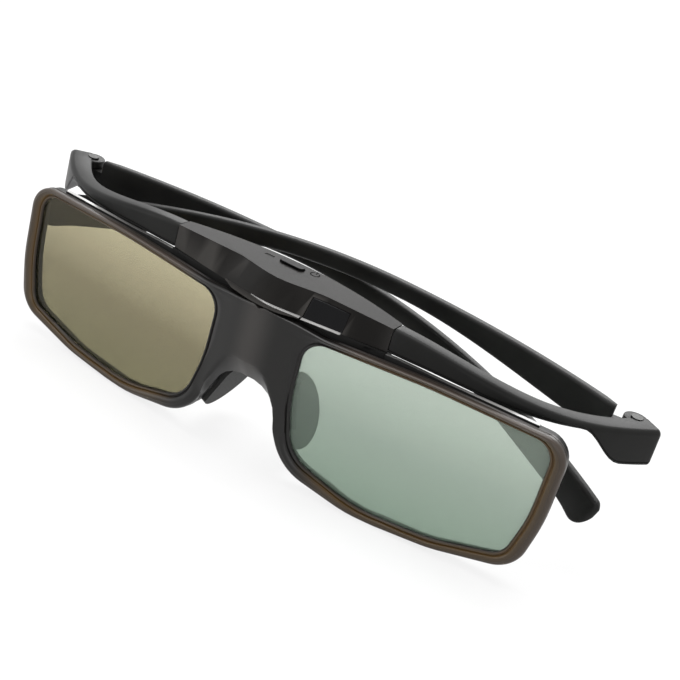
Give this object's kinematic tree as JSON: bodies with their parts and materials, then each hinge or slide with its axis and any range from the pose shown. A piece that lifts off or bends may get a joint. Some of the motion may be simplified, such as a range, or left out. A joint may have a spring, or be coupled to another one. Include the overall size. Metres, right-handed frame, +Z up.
{
  "type": "folding shutter glasses",
  "caption": "Folding 3D glasses with liquid crystal shutter lenses, a brow housing with button, light, sensor and charging socket, and ear hooks that fold behind the lenses.",
  "frame": {"origin": "middle of the bottom of the box, with the temples folded: the part stands on the lower edges of its rims", "axes": "X to the right as seen from in front of the lenses, Y from the lenses back to the folded temples, Z up"},
  "size_m": [0.1706, 0.0508, 0.0457],
  "materials": {
    "smoke_bezel": "smoke-brown translucent plastic, semi-gloss",
    "black_shell": "fine-grained black plastic",
    "brow_shell": "grey-brown plastic, satin",
    "nose_rubber": "soft black rubber",
    "sensor_black": "glossy black filter window",
    "clear_pipe": "clear diffusing plastic",
    "steel": "bright steel",
    "board": "green circuit board",
    "chip": "black moulding compound",
    "cell_foil": "foil pouch",
    "flex_film": "amber film",
    "left_lens": "khaki liquid crystal shutter",
    "right_lens": "grey-green liquid crystal shutter",
    "button_black": "black button",
    "cover_rubber": "black rubber flap"
  },
  "bodies": {
    "front": {"front_bezel": "smoke_bezel", "rear_frame": "black_shell", "nose_pad": "nose_rubber", "brow_housing": "brow_shell", "sensor_window": "sensor_black", "light_pipe": "clear_pipe", "usb_socket": "steel", "main_board": "board", "controller_chip": "chip", "battery": "cell_foil", "ir_receiver": "chip", "power_switch": "steel", "status_led": "clear_pipe", "left_front_polarizer": "left_lens", "left_shutter_cell": "left_lens", "left_rear_polarizer": "left_lens", "left_lens_flex": "flex_film", "right_front_polarizer": "right_lens", "right_shutter_cell": "right_lens", "right_rear_polarizer": "right_lens", "right_lens_flex": "flex_film", "left_arm": "black_shell", "right_arm": "black_shell", "left_hinge_pin": "steel", "right_hinge_pin": "steel", "cover_screws": "steel", "arm_screws": "steel"},
    "left_temple": {"left_temple": "black_shell"},
    "right_temple": {"right_temple": "black_shell"},
    "power_button": {"power_button": "button_black"},
    "port_cover": {"port_cover": "cover_rubber"}
  },
  "joints": [
    {"name": "left_temple_fold", "type": "hinge", "parent": "front", "child": "left_temple", "pos_m": [-0.0782, 0.0123, 0.03353], "axis": [0.0344, 0, 0.9994], "range_deg": [0, 87]},
    {"name": "right_temple_fold", "type": "hinge", "parent": "front", "child": "right_temple", "pos_m": [0.0782, 0.0123, 0.03353], "axis": [-0.0344, 0, -0.9994], "range_deg": [0, 90]},
    {"name": "power_button_press", "type": "slide", "parent": "front", "child": "power_button", "axis": [0, 0, -1], "range_m": [0, 0.00035], "stiffness_N_per_m": 400, "springref_m": -0.0004},
    {"name": "port_cover_open", "type": "hinge", "parent": "front", "child": "port_cover", "pos_m": [-0.016, -0.01109, 0.04003], "axis": [-1, 0, 0], "range_deg": [0, 80]}
  ]
}
